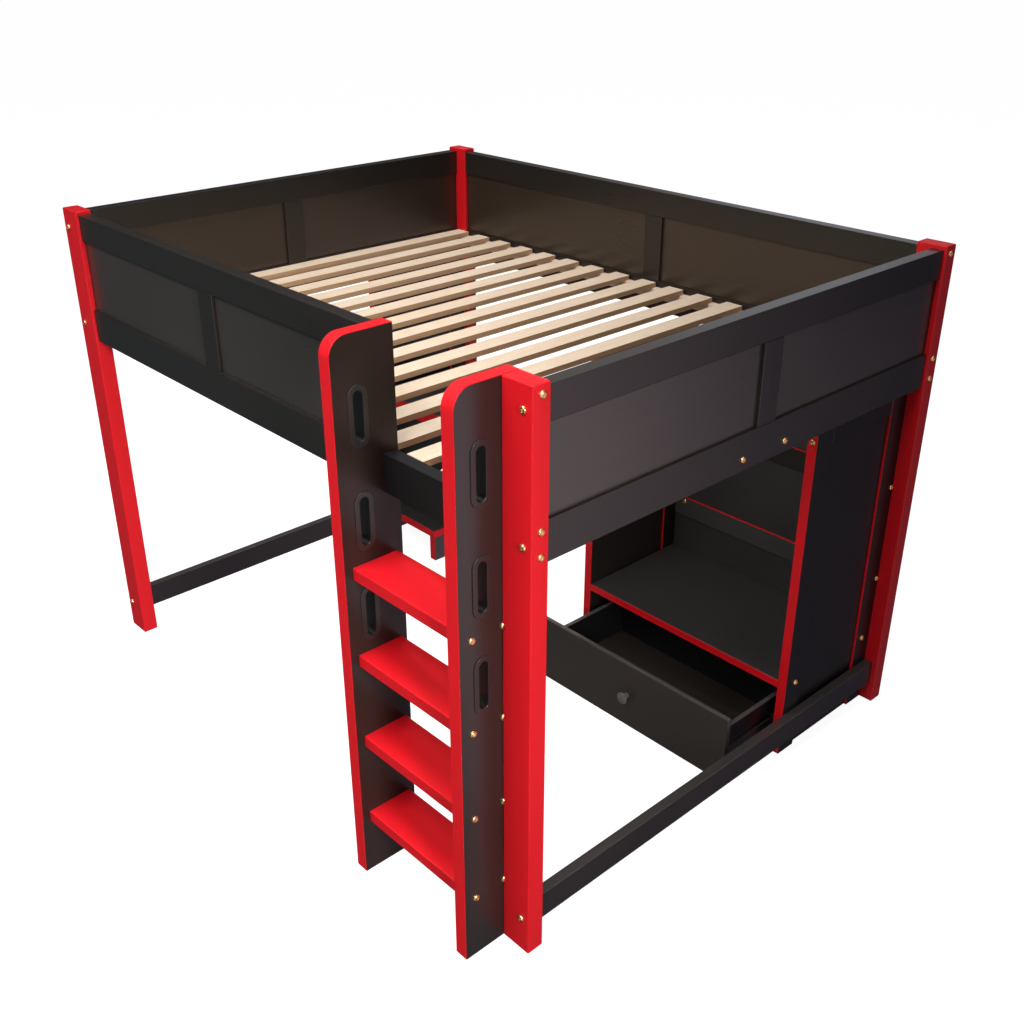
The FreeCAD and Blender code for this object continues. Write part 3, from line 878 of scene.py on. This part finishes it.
def mirrored_room(tree, direction):
    """What the satin boards mirror: a dim room with soft patches of light."""
    dim = {"Color": (*room_colour, 1.0), "Strength": room_strength}
    total = tree.node("ShaderNodeBackground", {}, dim)
    for middle, inner, outer, colour, strength in room_patches:
        patch = glow(tree, direction, middle, inner, outer, colour, strength)
        total = tree.node("ShaderNodeAddShader", {}, {0: total, 1: patch})
    return total


def studio_sky(stage):
    """Soft light from all round, a room for the gloss to mirror, and plain white behind the bed."""
    world = bpy.data.worlds.new("studio")
    world.use_nodes = True
    tree = NodeTree(world.node_tree)
    direction = tree.node("ShaderNodeTexCoord", output="Generated")
    soft = tree.node("ShaderNodeBackground", {}, {"Color": white, "Strength": stage.sky_strength})
    plain = tree.node("ShaderNodeBackground", {}, {"Color": white, "Strength": 1.0})
    gloss = tree.node("ShaderNodeLightPath", output="Is Glossy Ray")
    seen = tree.node("ShaderNodeLightPath", output="Is Camera Ray")
    lit = tree.node("ShaderNodeMixShader", {}, {0: gloss, 1: soft, 2: mirrored_room(tree, direction)})
    whole = tree.node("ShaderNodeMixShader", {}, {0: seen, 1: lit, 2: plain})
    tree.node("ShaderNodeOutputWorld", {}, {"Surface": whole})
    bpy.context.scene.world = world


def soft_light(name, power, spread, place, aim, width, height, mirrored=True):
    """A soft rectangular light that looks from one point to another, with a beam that many degrees wide.

    A light that is not mirrored leaves no gleam on the finishes.
    """
    lamp = bpy.data.lights.new(name, "AREA")
    lamp.shape = "RECTANGLE"
    lamp.size = width
    lamp.size_y = height
    lamp.energy = power
    lamp.spread = math.radians(spread)
    light = bpy.data.objects.new(name, lamp)
    light.location = place
    light.rotation_euler = (Vector(aim) - light.location).to_track_quat("-Z", "Y").to_euler()
    light.visible_glossy = mirrored
    bpy.context.scene.collection.objects.link(light)


def studio_lights(stage):
    """The large lights in front and on the right, two over the deck, and one behind."""
    soft_light(
        "key", stage.key_power, spread=40,
        place=(5.5, -2.0, 2.4), aim=(1.0, -1.35, 0.8), width=0.9, height=2.2,
    )
    soft_light(
        "front", stage.front_power, spread=180,
        place=(0.4, -4.2, 5.5), aim=(0.4, -0.7, 0.7), width=4.0, height=2.5,
    )
    soft_light(
        "fill", stage.fill_power, spread=180,
        place=(1.2, -7.5, 2.2), aim=(0.4, 0.3, 0.5), width=4.0, height=2.0,
    )
    soft_light(
        "top", stage.top_power, spread=40,
        place=(0.75, -1.5, 6.0), aim=(0.75, -1.2, 0.5), width=1.5, height=1.5,
    )
    soft_light(
        "deck", stage.deck_power, spread=30,
        place=(-0.6, 0.4, 6.0), aim=(-0.6, 0.4, 1.2), width=1.5, height=1.5,
    )
    soft_light(
        "rear", stage.rear_power, spread=60, mirrored=False,
        place=(-4.5, 5.0, 2.2), aim=(-0.3, 0.3, 0.8), width=3.0, height=2.0,
    )


def studio_camera(stage):
    """The camera at the photograph's angle."""
    lens = bpy.data.cameras.new("camera")
    lens.lens = stage.lens
    lens.sensor_width = sensor_width
    lens.clip_end = sight_reach
    camera = bpy.data.objects.new("camera", lens)
    camera.location = stage.camera_place
    camera.rotation_euler = (math.pi / 2 - stage.camera_elevation, 0, stage.camera_azimuth)
    bpy.context.scene.collection.objects.link(camera)
    bpy.context.scene.camera = camera


class LOFT_BED_OT_stage(bpy.types.Operator):
    """Set the floor, the lights and the camera"""

    bl_idname = "loft_bed.stage"
    bl_label = "Studio stage"

    def execute(self, context):
        stage = context.scene.loft_bed_stage
        studio_floor(stage)
        studio_sky(stage)
        studio_lights(stage)
        studio_camera(stage)
        context.scene.view_settings.view_transform = "Standard"
        return {"FINISHED"}


class LOFT_BED_PT_panel(bpy.types.Panel):
    """Lists the steps that dress the bed"""

    bl_idname = "LOFT_BED_PT_panel"
    bl_label = "Loft bed"
    bl_space_type = "VIEW_3D"
    bl_region_type = "UI"
    bl_category = "Loft bed"

    def draw(self, context):
        for step in steps:
            self.layout.operator(step.bl_idname)
        for group in (context.scene.loft_bed_finish, context.scene.loft_bed_stage):
            column = self.layout.column()
            for name in group.__annotations__:
                column.prop(group, name)


steps = (
    LOFT_BED_OT_posts,
    LOFT_BED_OT_guards,
    LOFT_BED_OT_deck,
    LOFT_BED_OT_ladder,
    LOFT_BED_OT_cabinet,
    LOFT_BED_OT_drawer,
    LOFT_BED_OT_desk,
    LOFT_BED_OT_bolts,
    LOFT_BED_OT_stage,
)
classes = (LoftBedFinish, LoftBedStage, *steps, LOFT_BED_PT_panel)


def register():
    for group in classes:
        bpy.utils.register_class(group)
    bpy.types.Scene.loft_bed_finish = bpy.props.PointerProperty(type=LoftBedFinish)
    bpy.types.Scene.loft_bed_stage = bpy.props.PointerProperty(type=LoftBedStage)


def unregister():
    del bpy.types.Scene.loft_bed_stage
    del bpy.types.Scene.loft_bed_finish
    for group in reversed(classes):
        bpy.utils.unregister_class(group)


def main():
    register()
    bpy.ops.loft_bed.posts()
    bpy.ops.loft_bed.guards()
    bpy.ops.loft_bed.deck()
    bpy.ops.loft_bed.ladder()
    bpy.ops.loft_bed.cabinet()
    bpy.ops.loft_bed.drawer()
    bpy.ops.loft_bed.desk()
    bpy.ops.loft_bed.bolts()
    bpy.ops.loft_bed.stage()


if __name__ == "__main__":
    main()
